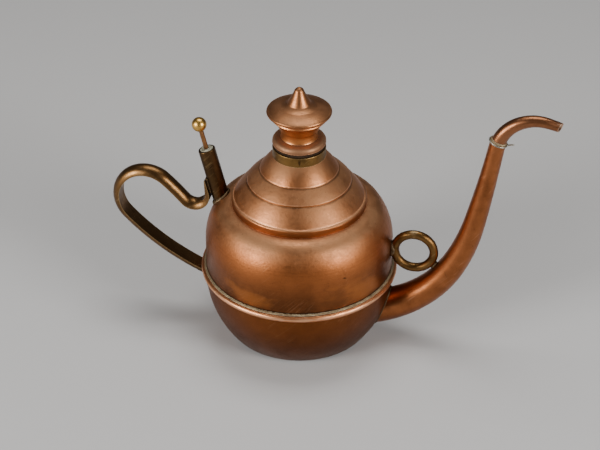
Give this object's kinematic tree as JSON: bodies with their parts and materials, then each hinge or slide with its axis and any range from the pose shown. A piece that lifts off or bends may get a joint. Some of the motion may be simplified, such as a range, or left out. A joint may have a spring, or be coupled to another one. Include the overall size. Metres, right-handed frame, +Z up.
{
  "type": "oil can",
  "caption": "Round copper oil can with a swan-neck spout, a strap handle, a screw cap with a pointed knob and a sprung thumb valve.",
  "frame": {"origin": "centre of the flat base, on the can's own axis, at the surface it stands on", "axes": "+Z up along the can's axis; +X towards the spout; handle towards -X"},
  "size_m": [0.2399, 0.107, 0.1502],
  "materials": {
    "body_copper": "satin brown-orange patinated copper",
    "bowl_copper": "satin darker patinated copper",
    "bead_copper": "worn copper edge",
    "spout_copper": "satin brown copper",
    "tip_copper": "satin brown copper",
    "cap_copper": "satin brown copper",
    "knob_copper": "brighter orange copper",
    "neck_brass": "dull green-gold brass",
    "handle_brass": "patinated golden-brown brass",
    "ring_brass": "patinated brass, worn bright on top",
    "tube_brass": "very dark brown patinated brass",
    "ball_brass": "polished brass",
    "fitting_brass": "machined brass",
    "rod_steel": "brown stained rod",
    "spring_steel": "drawn wire",
    "tie_wire": "grey wire",
    "solder": "dull grey-tan soft solder",
    "washer_leather": "oiled dark leather",
    "packing": "pale crumbly cord packing"
  },
  "bodies": {
    "can": {"lower_bowl": "bowl_copper", "upper_body": "body_copper", "seam_bead": "bead_copper", "seam_solder": "solder", "neck_ring": "neck_brass", "spout_tube": "spout_copper", "spout_tip": "tip_copper", "spout_root_solder": "solder", "spout_joint_solder": "solder", "spout_wire_tie": "tie_wire", "hanging_ring": "ring_brass", "ring_solder": "solder", "handle": "handle_brass", "handle_solder": "solder", "valve_tube": "tube_brass", "valve_tube_solder": "solder", "gland_packing": "packing", "guide_bush": "fitting_brass", "valve_seat": "fitting_brass", "return_spring": "spring_steel"},
    "washer": {"cap_washer": "washer_leather"},
    "cap": {"cap_plug": "fitting_brass", "cap_skirt": "cap_copper", "cap_knob_lower": "knob_copper", "cap_knob_top": "cap_copper"},
    "plunger": {"valve_rod": "rod_steel", "thumb_ball": "ball_brass", "spring_collar": "fitting_brass", "collar_pin": "spring_steel", "valve_washer": "washer_leather", "valve_disc": "fitting_brass", "valve_nut": "fitting_brass"}
  },
  "joints": [
    {"name": "cap_lift", "type": "slide", "parent": "can", "child": "washer", "axis": [0, 0, 1], "range_m": [0, 0.006]},
    {"name": "cap_turn", "type": "hinge", "parent": "washer", "child": "cap", "pos_m": [0, 0, 0.1165], "axis": [0, 0, 1], "range_deg": [0, 1080]},
    {"name": "thumb_valve", "type": "slide", "parent": "can", "child": "plunger", "axis": [0.2385, 0, -0.9711], "range_m": [0, 0.006], "stiffness_N_per_m": 320, "springref_m": -0.004, "deforming": ["return_spring"]}
  ],
  "couplings": [
    {"joint": "cap_lift", "follows": "cap_turn", "m_per_rad": 0.00031831}
  ]
}
